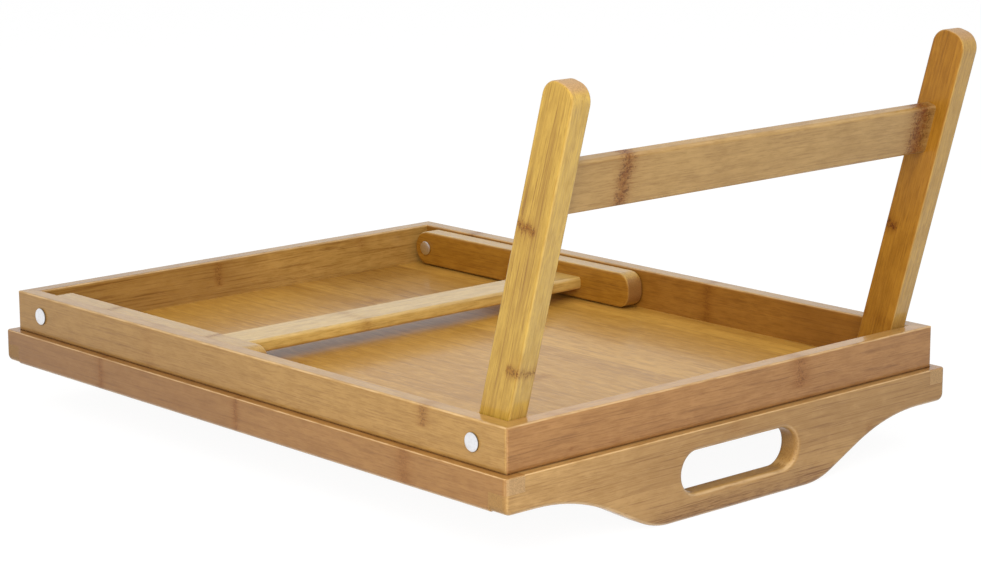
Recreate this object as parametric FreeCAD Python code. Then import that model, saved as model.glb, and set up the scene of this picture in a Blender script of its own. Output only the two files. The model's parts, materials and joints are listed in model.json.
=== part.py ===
import FreeCAD, Part
import math
import os

# Bamboo bed tray table, lying upside down on its two handle crests, in millimetres.
# The serving board's top face looks down. Its centre is the origin, and +Z points to the feet.
# X runs along the long side, Y across. The right leg pair (+X) stands open against its end
# rail, and the left pair (-X) lies folded inside the leg frame.

Vector = FreeCAD.Vector
X_AXIS = Vector(1, 0, 0)
Y_AXIS = Vector(0, 1, 0)
Z_AXIS = Vector(0, 0, 1)

# Leg frame: four mitred rails under the board
frame_length = 500.0        # outside, along X
frame_width = 378.0         # outside, along Y
frame_height = 27.5
frame_rail_thick = 12.0     # the two long rails
frame_end_thick = 12.0      # the two end rails
frame_arris = 1.5           # rounding of the rails' long top edges
frame_foot_arris = 0.6      # softening of their outer edge on the ledge, which leaves a fine groove
frame_corner_round = 2.0    # rounding of the four upright corners

# Rim: two long rails and two handle panels, lapped at the corners
rim_overhang = 6.5          # ledge that shows round the leg frame
rim_height = 22.5
rim_rail_thick = 15.0
handle_thick = 15.0
lap_height = 10.0           # height of the rail's share of the corner lap
rim_ledge_arris = 1.2       # rounding of the ledge's outer edge
rim_edge_round = 3.0        # roundover of the rim's free edges and upright corners

# Handle panel outline and grip slot
crest_reach = 31.8          # how far the crest stands past the rim's edge
crest_length = 123.5        # flat stretch of the crest
crest_radius = 52.0         # shoulder from the crest into the flank
flank_angle = 26.3          # slope of the flank, degrees
foot_radius = 139.0         # hollow curve from the flank into the rim
handle_corner_radius = 5.0
slot_length = 102.0
slot_height = 26.2
slot_drop = 13.0            # ledge to the slot's near wall
slot_corner_radius = 13.0
slot_roundover = 3.5

# Serving board, let into a rebate of the rim
board_thick = 6.0
tongue_step = 1.0           # the board's edge is thinner by this where the rim laps over it
rebate_width = 7.0
board_edge_gap = 0.25       # room for the board to move in its rebate

# Folding legs
pivot_inset = 28.7          # rivet axis to the frame's end
leg_width = 25.0
leg_thick = 14.7
leg_arris = 1.5
foot_corner_radius = 10.6
fold_gap = 4.4              # between the two pairs' feet when both lie folded
stop_gap = 0.3              # between an open leg and the end rail that stops it

# Crossbars
crossbar_width = 32.4
crossbar_thick = 9.0
crossbar_edge_round = 2.5
crossbar_inset = 7.0        # leg's board-side edge to the crossbar
foot_overhang = 48.6        # crossbar edge to the foot's tip

# Crossbar dowels, two at each end
dowel_diameter = 5.0
dowel_spacing = 17.0
dowel_depth_leg = 10.0
dowel_depth_bar = 14.0
dowel_end_gap = 0.5         # glue room past each end of a dowel
glue_clearance = 0.05       # radial, round dowels and pins

# Pivot rivets and washers
rivet_shank_diameter = 5.0
rivet_running_clearance = 0.05
rivet_head_diameter = 11.5
rivet_head_height = 1.7
rivet_rim_height = 0.6      # upright edge of the head, under its dome
rivet_tail_diameter = 10.5
washer_diameter = 13.0
washer_thick = 0.6
washer_gap = 0.3            # washer to leg, and leg to the rivet's tail

# Pins that tie the leg frame, the board and the rim together
pin_diameter = 4.0
pin_depth_frame = 10.0
pin_depth_rim = 10.0
pin_pitch_long = 114.0
pins_per_long_rail = 4
pin_pitch_end = 234.0
pins_per_end_rail = 2

# Splines in the leg frame's mitres
spline_thick = 3.0
spline_depth = 5.0          # into each rail, square to the mitre
spline_height = 18.0
spline_end_gap = 0.3

# Derived levels
board_bottom = board_thick                      # the ledge and the rim's edge lie here too
rim_low = board_bottom - rim_height
frame_top = board_bottom + frame_height
crest_low = rim_low - crest_reach
pivot_height = board_bottom + frame_height / 2

# Derived plan sizes
half_frame_x = frame_length / 2
half_frame_y = frame_width / 2
half_rim_x = half_frame_x + rim_overhang
half_rim_y = half_frame_y + rim_overhang
pivot_x = half_frame_x - pivot_inset
leg_reach = pivot_x - fold_gap / 2              # pivot to the foot's tip
leg_outer_y = half_frame_y - frame_rail_thick - washer_thick - washer_gap
leg_inner_y = leg_outer_y - leg_thick
crossbar_start = leg_reach - foot_overhang - crossbar_width
crossbar_middle = crossbar_start + crossbar_width / 2
board_half_x = half_rim_x - handle_thick + rebate_width - board_edge_gap
board_half_y = half_rim_y - rim_rail_thick + rebate_width - board_edge_gap
field_half_x = half_rim_x - handle_thick - board_edge_gap
field_half_y = half_rim_y - rim_rail_thick - board_edge_gap

SIDES = {"front": -1, "back": 1}
ENDS = {"left": -1, "right": 1}


def open_lean():
    """Lean past upright at which an open leg meets its end rail's rounded inner edge."""
    reach = pivot_inset - frame_end_thick + frame_arris
    rise = frame_top - pivot_height - frame_arris
    offset = leg_width / 2 + stop_gap + frame_arris
    return math.degrees(math.acos(offset / math.hypot(reach, rise)) - math.atan2(rise, reach))


lean = open_lean()


def rounded_face(corners, radii):
    """Flat face through the corners, each rounded by its own radius. A radius of 0 stays sharp."""
    starts = []
    middles = []
    ends = []
    count = len(corners)
    for index in range(count):
        corner = corners[index]
        to_last = (corners[index - 1] - corner).normalize()
        to_next = (corners[(index + 1) % count] - corner).normalize()
        half_angle = to_last.getAngle(to_next) / 2
        tangent = radii[index] / math.tan(half_angle)
        inward = (to_last + to_next).normalize()
        starts.append(corner + to_last * tangent)
        ends.append(corner + to_next * tangent)
        middles.append(corner + inward * (radii[index] / math.sin(half_angle) - radii[index]))
    edges = []
    for index in range(count):
        if radii[index] > 0:
            edges.append(Part.Arc(starts[index], middles[index], ends[index]).toShape())
        after = starts[(index + 1) % count]
        if ends[index].distanceToPoint(after) > 1e-6:
            edges.append(Part.LineSegment(ends[index], after).toShape())
    return Part.Face(Part.Wire(edges))


def block(x_range, y_range, z_range):
    """Box between two limits along each axis."""
    corner = Vector(x_range[0], y_range[0], z_range[0])
    return Part.makeBox(x_range[1] - x_range[0], y_range[1] - y_range[0], z_range[1] - z_range[0], corner)


def rod(radius, start, end):
    """Round rod from start to end."""
    return Part.makeCylinder(radius, (end - start).Length, start, end - start)


def ring_of_upright_edges(half_x, half_y, low, high, radius):
    """Block centred on the origin whose four upright edges are rounded."""
    corners = [
        Vector(-half_x, -half_y, low),
        Vector(half_x, -half_y, low),
        Vector(half_x, half_y, low),
        Vector(-half_x, half_y, low),
    ]
    return rounded_face(corners, [radius] * 4).extrude(Z_AXIS * (high - low))


def mirrored(shape, end, side):
    """Copy of a shape made for the +X, +Y quarter, mirrored to the wanted end and side."""
    result = shape.copy()
    if end < 0:
        result = result.mirror(Vector(), X_AXIS)
    if side < 0:
        result = result.mirror(Vector(), Y_AXIS)
    return result


# ---------------------------------------------------------------- pins and their holes

def pin_places():
    """Centre of each frame pin in plan."""
    shelf_x = half_rim_x - handle_thick + rebate_width / 2
    shelf_y = half_rim_y - rim_rail_thick + rebate_width / 2
    places = []
    for index in range(pins_per_long_rail):
        x = (index - (pins_per_long_rail - 1) / 2) * pin_pitch_long
        places += [(x, -shelf_y), (x, shelf_y)]
    for index in range(pins_per_end_rail):
        y = (index - (pins_per_end_rail - 1) / 2) * pin_pitch_end
        places += [(-shelf_x, y), (shelf_x, y)]
    return places


def frame_pins(radius, end_gap):
    """All pins, or their holes with a larger radius and a negative end gap."""
    pins = []
    for x, y in pin_places():
        low = Vector(x, y, -pin_depth_rim + end_gap)
        high = Vector(x, y, board_bottom + pin_depth_frame - end_gap)
        pins.append(rod(radius, low, high))
    return Part.makeCompound(pins)


# ---------------------------------------------------------------- board and rim

def serving_board():
    """Laminated board whose thinner edge drops into the rim's rebate, so its field fills the rim."""
    field = block((-field_half_x, field_half_x), (-field_half_y, field_half_y), (0, board_bottom))
    x_range = (-board_half_x, board_half_x)
    y_range = (-board_half_y, board_half_y)
    tongue = block(x_range, y_range, (tongue_step, board_bottom))
    board = field.fuse(tongue).removeSplitter()
    return board.cut(frame_pins(pin_diameter / 2 + glue_clearance, 0))


def board_pocket():
    """Rebate that the board's edge lies in, open towards the leg frame."""
    half_x = board_half_x + board_edge_gap
    half_y = board_half_y + board_edge_gap
    return block((-half_x, half_x), (-half_y, half_y), (tongue_step, board_bottom))


def rim_envelope():
    """Outer limit of the rim: rounded upright corners and a softened ledge."""
    body = ring_of_upright_edges(half_rim_x, half_rim_y, crest_low, board_bottom, rim_edge_round)
    ledge = [edge for edge in body.Edges if edge.BoundBox.ZMin > board_bottom - 0.01]
    return body.makeFillet(rim_ledge_arris, ledge)


def lap_fingers(end):
    """Room that the two long rails' ends take in the handle panel of one end."""
    fingers = []
    for side in SIDES.values():
        x_range = sorted((end * (half_rim_x - handle_thick), end * half_rim_x))
        y_range = sorted((side * (half_rim_y - rim_rail_thick), side * half_rim_y))
        fingers.append(block(x_range, y_range, (board_bottom - lap_height, board_bottom)))
    return Part.makeCompound(fingers)


def rim_rail(side):
    """Long rim rail: rounded section, rebated for the board, with a lap finger at each end."""
    outer = side * half_rim_y
    inner = side * (half_rim_y - rim_rail_thick)
    section = [
        Vector(-half_rim_x, outer, rim_low),
        Vector(-half_rim_x, inner, rim_low),
        Vector(-half_rim_x, inner, board_bottom),
        Vector(-half_rim_x, outer, board_bottom),
    ]
    rail = rounded_face(section, [rim_edge_round, rim_edge_round, 0, 0])
    rail = rail.extrude(X_AXIS * (2 * half_rim_x))
    for end in ENDS.values():
        x_range = sorted((end * (half_rim_x - handle_thick), end * half_rim_x))
        y_range = (-half_rim_y, half_rim_y)
        rail = rail.cut(block(x_range, y_range, (rim_low, board_bottom - lap_height)))
    rail = rail.common(rim_envelope())
    rail = rail.cut(board_pocket())
    return rail.cut(frame_pins(pin_diameter / 2 + glue_clearance, -dowel_end_gap))


def handle_outline(x):
    """Face of the handle panel at x: straight ledge, S-curved flanks and a flat crest."""
    slope = math.radians(flank_angle)
    crest_corner = crest_length / 2 + crest_radius * math.tan(slope / 2)
    foot_corner = crest_corner + crest_reach / math.tan(slope)
    corners = [
        Vector(x, -half_rim_y, board_bottom),
        Vector(x, half_rim_y, board_bottom),
        Vector(x, half_rim_y, rim_low),
        Vector(x, foot_corner, rim_low),
        Vector(x, crest_corner, crest_low),
        Vector(x, -crest_corner, crest_low),
        Vector(x, -foot_corner, rim_low),
        Vector(x, -half_rim_y, rim_low),
    ]
    curves = [foot_radius, crest_radius, crest_radius, foot_radius]
    return rounded_face(corners, [0, 0, handle_corner_radius] + curves + [handle_corner_radius])


def slot_outline(x):
    """Face of the grip slot at x."""
    high = board_bottom - slot_drop
    low = high - slot_height
    corners = [
        Vector(x, -slot_length / 2, low),
        Vector(x, slot_length / 2, low),
        Vector(x, slot_length / 2, high),
        Vector(x, -slot_length / 2, high),
    ]
    return rounded_face(corners, [slot_corner_radius] * 4)


def edges_on_face(shape, x):
    """Edges of a shape that lie wholly in the plane at x."""
    near = 1e-4
    return [e for e in shape.Edges if abs(e.BoundBox.XMin - x) < near and abs(e.BoundBox.XMax - x) < near]


def is_slot_edge(edge):
    """True for an edge inside the grip slot's rectangle."""
    box = edge.BoundBox
    inside_y = max(-box.YMin, box.YMax) < slot_length / 2 + 0.01
    inside_z = box.ZMax < board_bottom - slot_drop + 0.01 and box.ZMin > crest_low + 0.01
    return inside_y and inside_z


def is_ledge_edge(edge):
    """True for the straight edge along the ledge."""
    return edge.BoundBox.ZMin > board_bottom - 0.01


def handle_panel(end):
    """Handle panel with a rounded-over slot. Its inner roundover stops at the long rails."""
    outer_x = end * half_rim_x
    inner_x = end * (half_rim_x - handle_thick)
    thickness = X_AXIS * (outer_x - inner_x)
    plain = handle_outline(inner_x).extrude(thickness)
    plain = plain.cut(slot_outline(inner_x).extrude(thickness))

    slot_edges = [e for x in (outer_x, inner_x) for e in edges_on_face(plain, x) if is_slot_edge(e)]
    panel = plain.makeFillet(slot_roundover, slot_edges)
    outer_edges = [
        e for e in edges_on_face(panel, outer_x)
        if not is_ledge_edge(e) and e.BoundBox.ZMin < rim_low + rim_edge_round
        and not inside_slot_band(e)
    ]
    panel = panel.makeFillet(rim_edge_round, outer_edges)
    inner_edges = [
        e for e in edges_on_face(panel, inner_x)
        if not is_ledge_edge(e) and not is_upright_end(e) and not inside_slot_band(e)
    ]
    rounded = panel.makeFillet(rim_edge_round, inner_edges)

    between_rails = half_rim_y - rim_rail_thick
    reach = (min(inner_x, outer_x) - 1, max(inner_x, outer_x) + 1)
    depth = (crest_low - 1, board_bottom + 1)
    pieces = [rounded.common(block(reach, (-between_rails, between_rails), depth))]
    for side in SIDES.values():
        y_range = sorted((side * between_rails, side * (half_rim_y + 1)))
        pieces.append(panel.common(block(reach, y_range, depth)))
    whole = pieces[0].fuse(pieces[1:]).removeSplitter()

    whole = whole.common(rim_envelope())
    whole = whole.cut(lap_fingers(end))
    whole = whole.cut(board_pocket())
    return whole.cut(frame_pins(pin_diameter / 2 + glue_clearance, -dowel_end_gap))


def inside_slot_band(edge):
    """True for an edge of the slot's roundover, which lies inside the panel's own outline."""
    box = edge.BoundBox
    reach = slot_length / 2 + slot_roundover + 0.01
    return max(-box.YMin, box.YMax) < reach and box.ZMin > crest_low + 0.01


def is_upright_end(edge):
    """True for the short upright edges at the panel's two ends."""
    return min(abs(edge.BoundBox.YMin), abs(edge.BoundBox.YMax)) > half_rim_y - 0.01


# ---------------------------------------------------------------- leg frame

def rail_section(outer, inner, along, point):
    """Rounded rail section whose outer and inner faces lie at the given offsets."""
    section = [
        point(outer, board_bottom),
        point(inner, board_bottom),
        point(inner, frame_top),
        point(outer, frame_top),
    ]
    return rounded_face(section, [frame_foot_arris, 0, frame_arris, frame_arris]).extrude(along)


def mitred_plan(corners):
    """Prism over a rail's mitred plan."""
    wire = Part.makePolygon([Vector(x, y, board_bottom) for x, y in corners + corners[:1]])
    return Part.Face(wire).extrude(Z_AXIS * frame_height)


def frame_corners():
    """Leg frame block with its four upright corners rounded."""
    return ring_of_upright_edges(half_frame_x, half_frame_y, board_bottom, frame_top, frame_corner_round)


def mitre_splines(gap):
    """Flat keys across the four mitres, or their slots with a negative gap."""
    inner_x = half_frame_x - frame_end_thick
    inner_y = half_frame_y - frame_rail_thick
    turn = math.degrees(math.atan2(frame_rail_thick, frame_end_thick))
    middle = Vector((half_frame_x + inner_x) / 2, (half_frame_y + inner_y) / 2, pivot_height)
    half_height = spline_height / 2 - gap
    depth = spline_depth - gap
    key = block((-spline_thick / 2, spline_thick / 2), (-depth, depth), (-half_height, half_height))
    key.rotate(Vector(), Z_AXIS, turn)
    key.translate(middle)
    keys = [mirrored(key, end, side) for end in ENDS.values() for side in SIDES.values()]
    return Part.makeCompound(keys)


def finish_frame_piece(piece):
    """Round a rail's upright corners and cut its pin holes and spline slots."""
    piece = piece.common(frame_corners())
    piece = piece.cut(mitre_splines(0))
    return piece.cut(frame_pins(pin_diameter / 2 + glue_clearance, -dowel_end_gap))


def frame_rail(side):
    """Long leg-frame rail, mitred at both ends and bored for its two rivets."""
    outer = side * half_frame_y
    inner = side * (half_frame_y - frame_rail_thick)
    inner_x = half_frame_x - frame_end_thick
    rail = rail_section(outer, inner, X_AXIS * frame_length, lambda y, z: Vector(-half_frame_x, y, z))
    plan = [(-half_frame_x, outer), (half_frame_x, outer), (inner_x, inner), (-inner_x, inner)]
    rail = finish_frame_piece(rail.common(mitred_plan(plan)))
    for end in ENDS.values():
        hole_start = Vector(end * pivot_x, outer + side, pivot_height)
        hole_end = Vector(end * pivot_x, inner - side, pivot_height)
        rail = rail.cut(rod(rivet_shank_diameter / 2 + rivet_running_clearance, hole_start, hole_end))
    return rail


def frame_end(end):
    """Leg-frame end rail, whose rounded inner top edge stops the open legs."""
    outer = end * half_frame_x
    inner = end * (half_frame_x - frame_end_thick)
    inner_y = half_frame_y - frame_rail_thick
    rail = rail_section(outer, inner, Y_AXIS * frame_width, lambda x, z: Vector(x, -half_frame_y, z))
    plan = [(outer, -half_frame_y), (outer, half_frame_y), (inner, inner_y), (inner, -inner_y)]
    return finish_frame_piece(rail.common(mitred_plan(plan)))


# ---------------------------------------------------------------- folding leg pairs
# A pair is made lying folded at the +X end, with its legs pointing to -X, then placed.

def dowel_places():
    """Distance of each crossbar dowel from the pivot, along the leg."""
    return [crossbar_middle - dowel_spacing / 2, crossbar_middle + dowel_spacing / 2]


def crossbar_level():
    """Height of the folded crossbar's middle plane."""
    return pivot_height - leg_width / 2 + crossbar_inset + crossbar_thick / 2


def crossbar_dowels(side, clearance, end_gap):
    """The two dowels that tie a crossbar to the leg at one side, or their holes."""
    rods = []
    for distance in dowel_places():
        x = pivot_x - distance
        start = Vector(x, side * (leg_inner_y - dowel_depth_bar + end_gap), crossbar_level())
        end = Vector(x, side * (leg_inner_y + dowel_depth_leg - end_gap), crossbar_level())
        rods.append(rod(dowel_diameter / 2 + clearance, start, end))
    return Part.makeCompound(rods)


def leg(side):
    """Leg with a round pivot end, a foot with rounded corners and softened arrises."""
    half_width = leg_width / 2
    outer_y = side * leg_outer_y
    heel = pivot_x + half_width
    toe = pivot_x - leg_reach
    corners = [
        Vector(heel, outer_y, pivot_height - half_width),
        Vector(toe, outer_y, pivot_height - half_width),
        Vector(toe, outer_y, pivot_height + half_width),
        Vector(heel, outer_y, pivot_height + half_width),
    ]
    nearly_round = half_width - 1e-3
    outline = rounded_face(corners, [nearly_round, foot_corner_radius, foot_corner_radius, nearly_round])
    body = outline.extrude(Y_AXIS * (-side * leg_thick))
    along_faces = [e for e in body.Edges if e.BoundBox.YLength < 1e-3]
    body = body.makeFillet(leg_arris, along_faces)
    bore_start = Vector(pivot_x, side * (leg_outer_y + 1), pivot_height)
    bore_end = Vector(pivot_x, side * (leg_inner_y - 1), pivot_height)
    body = body.cut(rod(rivet_shank_diameter / 2 + rivet_running_clearance, bore_start, bore_end))
    return body.cut(crossbar_dowels(side, glue_clearance, 0))


def crossbar():
    """Crossbar between a pair's legs."""
    low = crossbar_level() - crossbar_thick / 2
    high = low + crossbar_thick
    near = pivot_x - crossbar_start
    far = near - crossbar_width
    section = [
        Vector(near, -leg_inner_y, low),
        Vector(far, -leg_inner_y, low),
        Vector(far, -leg_inner_y, high),
        Vector(near, -leg_inner_y, high),
    ]
    bar = rounded_face(section, [crossbar_edge_round] * 4).extrude(Y_AXIS * (2 * leg_inner_y))
    for side in SIDES.values():
        bar = bar.cut(crossbar_dowels(side, glue_clearance, 0))
    return bar


def place_pair_piece(shape, end):
    """Swing a folded +X piece open against its stop, or mirror it to lie folded at -X."""
    placed = shape.copy()
    if end > 0:
        placed.rotate(Vector(pivot_x, 0, pivot_height), Y_AXIS, 90 + lean)
        return placed
    return placed.mirror(Vector(), X_AXIS)


# ---------------------------------------------------------------- pivots

def domed_head(base, radius, height, edge_height, bore_radius):
    """Half profile of a low domed head, as points from its seat outwards along Y."""
    crown = Vector(0, base + height, 0)
    shoulder = Vector(radius, base + edge_height, 0)
    rise = height - edge_height
    dome_radius = (radius * radius + rise * rise) / (2 * rise)
    half_angle = math.asin(radius / dome_radius) / 2
    centre = base + height - dome_radius
    middle = Vector(dome_radius * math.sin(half_angle), centre + dome_radius * math.cos(half_angle), 0)
    return [
        Part.LineSegment(Vector(bore_radius, base, 0), Vector(radius, base, 0)).toShape(),
        Part.LineSegment(Vector(radius, base, 0), shoulder).toShape(),
        Part.Arc(shoulder, middle, crown).toShape(),
    ]


def rivet():
    """Solid rivet for the +X, +Y pivot: shank, outer domed head and set tail head."""
    shank = rivet_shank_diameter / 2
    seat = half_frame_y
    tail_seat = leg_inner_y - washer_gap
    head = domed_head(seat, rivet_head_diameter / 2, rivet_head_height, rivet_rim_height, shank)
    tail_height = rivet_head_height
    tail = domed_head(-tail_seat, rivet_tail_diameter / 2, tail_height, rivet_rim_height, shank)
    flip = FreeCAD.Matrix()
    flip.scale(1, -1, 1)
    tail = [edge.transformGeometry(flip) for edge in tail]
    axis = Part.LineSegment(Vector(0, tail_seat - tail_height, 0), Vector(0, seat + rivet_head_height, 0))
    side_line = Part.LineSegment(Vector(shank, tail_seat, 0), Vector(shank, seat, 0))
    profile = Part.Face(Part.Wire(Part.__sortEdges__(head + tail + [axis.toShape(), side_line.toShape()])))
    solid = profile.revolve(Vector(), Y_AXIS, 360)
    solid.translate(Vector(pivot_x, 0, pivot_height))
    return solid


def washer():
    """Thin washer between the long rail and the leg at the +X, +Y pivot."""
    seat = half_frame_y - frame_rail_thick
    near = Vector(pivot_x, seat - washer_thick, pivot_height)
    far = Vector(pivot_x, seat, pivot_height)
    bore = rod(rivet_shank_diameter / 2 + rivet_running_clearance, near, far)
    return rod(washer_diameter / 2, near, far).cut(bore)


# ---------------------------------------------------------------- build

def build_nodes():
    """Every node's shape by name."""
    nodes = {"serving_board": serving_board()}
    bar = crossbar()
    pivot_rivet = rivet()
    pivot_washer = washer()
    for side_name, side in SIDES.items():
        nodes["rim_rail_" + side_name] = rim_rail(side)
        nodes["frame_rail_" + side_name] = frame_rail(side)
    for end_name, end in ENDS.items():
        nodes["handle_panel_" + end_name] = handle_panel(end)
        nodes["frame_end_" + end_name] = frame_end(end)
        nodes["crossbar_" + end_name] = place_pair_piece(bar, end)
        dowels = [crossbar_dowels(side, 0, dowel_end_gap) for side in SIDES.values()]
        nodes["crossbar_dowels_" + end_name] = place_pair_piece(Part.makeCompound(dowels), end)
        for side_name, side in SIDES.items():
            corner = end_name + "_" + side_name
            nodes["leg_" + corner] = place_pair_piece(leg(side), end)
            nodes["rivet_" + corner] = mirrored(pivot_rivet, end, side)
    washers = [mirrored(pivot_washer, end, side) for end in ENDS.values() for side in SIDES.values()]
    nodes["pivot_washers"] = Part.makeCompound(washers)
    nodes["frame_pins"] = frame_pins(pin_diameter / 2, dowel_end_gap)
    nodes["mitre_splines"] = mitre_splines(spline_end_gap)
    return nodes


def main():
    os.makedirs("parts", exist_ok=True)
    for name, shape in sorted(build_nodes().items()):
        if not shape.isValid():
            raise ValueError(name + " is not a valid shape")
        shape.exportStep(os.path.join("parts", name + ".step"))
        box = shape.BoundBox
        size = "%.1f x %.1f x %.1f" % (box.XLength, box.YLength, box.ZLength)
        print("%-24s %2d solid(s) %11.1f mm3  %s" % (name, len(shape.Solids), shape.Volume, size))
    print("lean of the open pair %.3f degrees" % lean)
    print("pivots at x %.3f, z %.3f; leg reach %.3f" % (pivot_x, pivot_height, leg_reach))


main()
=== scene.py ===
import json
import math
from collections import namedtuple

import bpy
from mathutils import Color, Matrix, Vector


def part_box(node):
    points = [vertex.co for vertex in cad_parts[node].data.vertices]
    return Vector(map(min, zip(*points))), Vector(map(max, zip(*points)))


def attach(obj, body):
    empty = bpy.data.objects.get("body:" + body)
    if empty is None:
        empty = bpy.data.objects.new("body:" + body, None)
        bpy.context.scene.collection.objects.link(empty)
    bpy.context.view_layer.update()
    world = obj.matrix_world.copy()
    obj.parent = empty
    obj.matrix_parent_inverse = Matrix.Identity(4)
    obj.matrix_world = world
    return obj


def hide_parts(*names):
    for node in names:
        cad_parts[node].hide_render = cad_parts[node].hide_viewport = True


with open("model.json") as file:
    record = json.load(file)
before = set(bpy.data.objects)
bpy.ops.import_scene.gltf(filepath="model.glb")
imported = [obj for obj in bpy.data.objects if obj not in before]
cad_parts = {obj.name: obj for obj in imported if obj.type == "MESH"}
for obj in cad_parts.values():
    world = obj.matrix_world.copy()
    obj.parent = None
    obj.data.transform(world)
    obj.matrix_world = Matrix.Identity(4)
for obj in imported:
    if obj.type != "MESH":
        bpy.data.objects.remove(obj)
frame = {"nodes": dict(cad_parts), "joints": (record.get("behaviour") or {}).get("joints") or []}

# Bamboo bed tray table lying upside down on its handle crests, in metres.
# The construction pieces keep their shape and get their finish here. The four rivets are turned
# here, with a crisper head. X runs along the tray, Y across it, +Z points to the feet.

bl_info = {
    "name": "Bamboo Bed Tray Table",
    "version": (1, 0, 0),
    "blender": (4, 5, 0),
    "location": "3D View > Sidebar > Bed Tray",
    "description": "Finishes a folding bamboo bed tray table and lights it",
    "category": "Object",
}

MM = 0.001
WHITE_LEVEL = 255  # of a screen's tones
CORNERS = ("left_front", "left_back", "right_front", "right_back")
SIDES = ("front", "back")
ENDS = ("left", "right")
STEP_NAMES = ("board", "rim_rails", "handles", "leg_frame", "legs", "crossbars", "joinery", "rivets",
              "washers", "stage")


# ---------------- levels read from the frame

def middle(node):
    """Centre of a construction piece's box."""
    low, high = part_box(node)
    return (low + high) / 2


LEDGE_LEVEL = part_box("frame_rail_front")[0].z  # where the leg frame stands on the rim
FRAME_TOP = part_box("frame_rail_front")[1].z
FLOOR_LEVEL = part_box("handle_panel_right")[0].z
HALF_FRAME_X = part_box("frame_end_right")[1].x
HALF_FRAME_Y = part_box("frame_rail_back")[1].y
RIM_HALF_THICK = (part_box("handle_panel_right")[1].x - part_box("handle_panel_right")[0].x) / 2
FOLD = {joint["child"]: joint for joint in frame["joints"]}
PIVOTS = {end: Vector(FOLD[end + "_leg_pair"]["pos_m"]) for end in ENDS}
UPRIGHT = 90  # degrees from the folded to the upright leg
LEAN = math.radians(FOLD["right_leg_pair"]["range_deg"][1] - UPRIGHT)
OPEN_LEG = Vector((math.sin(LEAN), 0, math.cos(LEAN)))  # from the pivot to an open foot
OPEN_EDGE = Vector((math.cos(LEAN), 0, -math.sin(LEAN)))  # square to it, away from the tray
CENTRE = Vector((0, 0, 0))
X_AXIS = Vector((1, 0, 0))
Y_AXIS = Vector((0, 1, 0))
Z_AXIS = Vector((0, 0, 1))
OUTWARD = {"front": -Y_AXIS, "back": Y_AXIS, "left": -X_AXIS, "right": X_AXIS}


# ---------------- settings a user may change

def tone(red, green, blue):
    """Linear colour of a tone given as it looks on a screen, from 0 to 255."""
    on_screen = Color((red / WHITE_LEVEL, green / WHITE_LEVEL, blue / WHITE_LEVEL))
    return tuple(on_screen.from_srgb_to_scene_linear())


def colour_setting(name, description, default):
    """Colour property of the finish."""
    return bpy.props.FloatVectorProperty(
        name=name, description=description, subtype="COLOR", size=3, min=0, max=1, default=default)


def length_setting(name, description, default):
    """Length property, in metres."""
    return bpy.props.FloatProperty(
        name=name, description=description, default=default, min=0, subtype="DISTANCE", unit="LENGTH",
        precision=5)


def share_setting(name, description, default):
    """Property that runs from 0 to 1."""
    return bpy.props.FloatProperty(
        name=name, description=description, default=default, min=0, max=1, subtype="FACTOR")


def angle_setting(name, description, degrees):
    """Angle property, its default given in degrees."""
    return bpy.props.FloatProperty(
        name=name, description=description, default=math.radians(degrees), subtype="ANGLE",
        unit="ROTATION")


class BambooFinish(bpy.types.PropertyGroup):
    """Tones of the steamed bamboo and of the varnish over it, and tones of painted shade and painted
    highlight.
    """
    board: colour_setting("Board", "The serving board", tone(194, 147, 62))
    rim: colour_setting("Rim", "The two long rim rails", tone(158, 113, 53))
    handle: colour_setting("Handle", "The two handle panels", tone(194, 154, 92))
    leg_frame: colour_setting("Leg frame", "Its long and left rails", tone(178, 138, 70))
    end_rail: colour_setting("End rail", "The leg frame's right end rail", tone(172, 124, 66))
    end_top: colour_setting("End top", "Paler tone of the right end rail's top", tone(188, 147, 80))
    leg: colour_setting("Leg", "The open front leg", tone(193, 157, 62))
    leg_side: colour_setting("Leg side", "That leg's narrow sides", tone(182, 149, 84))
    deep_leg: colour_setting("Deep leg", "The other three legs", tone(186, 146, 62))
    crossbar: colour_setting(
        "Crossbar", "The open crossbar and two legs' narrow sides", tone(170, 134, 73))
    folded_bar: colour_setting("Folded crossbar", "The folded crossbar", tone(200, 166, 92))
    fibre: colour_setting("Fibre", "Dark fibre bundles", tone(110, 66, 18))
    knot: colour_setting("Node band", "Brown band where the culm had a node", tone(118, 60, 12))
    pith: colour_setting("End grain", "Cut ends of the sticks", tone(190, 150, 106))
    rim_end: colour_setting("Rim end", "Cut ends of the rim rails", tone(188, 152, 106))
    handle_end: colour_setting("Handle end", "Cut ends of the right handle panel", tone(158, 118, 66))
    # Painted shade: a darker copy of the handle end tone for the left handle's cut ends.
    shaded_handle_end: colour_setting("Deep end", "Cut ends of the left handle panel", tone(144, 106, 62))
    foot_end: colour_setting("Foot end", "Cut ends of the folded legs", tone(150, 104, 58))
    # worn: pale arris tone, partly worn finish and partly painted highlight on the rounding
    worn_and_sheen: colour_setting("Worn edge", "Arrises where the finish is thin", tone(226, 190, 138))
    # seam: dark joint tone, laid also as painted contact shade at the frame's foot, and in torn
    # node-band dashes
    seam: colour_setting("Seam", "Varnish caught in the joints", tone(84, 42, 8))
    # inside: painted shade, multiplied into the faces that look into the tray
    inside: colour_setting(
        "Inner faces", "Extra stain on faces that look into the tray", (0.66, 0.50, 0.26))
    varnish: share_setting("Varnish", "Weight of the clear varnish", 0.60)
    varnish_roughness: share_setting("Varnish roughness", "Satin of the clear varnish", 0.15)


class RivetShape(bpy.types.PropertyGroup):
    """Form of the four pivot rivets."""
    shank_diameter: length_setting("Shank", "Diameter of the shank", 5.0 * MM)
    tail_diameter: length_setting("Tail", "Diameter of the set tail", 10.5 * MM)
    edge_height: length_setting("Edge height", "Upright edge under the dome", 1.1 * MM)
    edge_bevel: length_setting("Edge bevel", "Softening of the head's edge", 0.16 * MM)
    metal: colour_setting("Metal", "Bright plated steel", tone(236, 236, 238))


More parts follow.
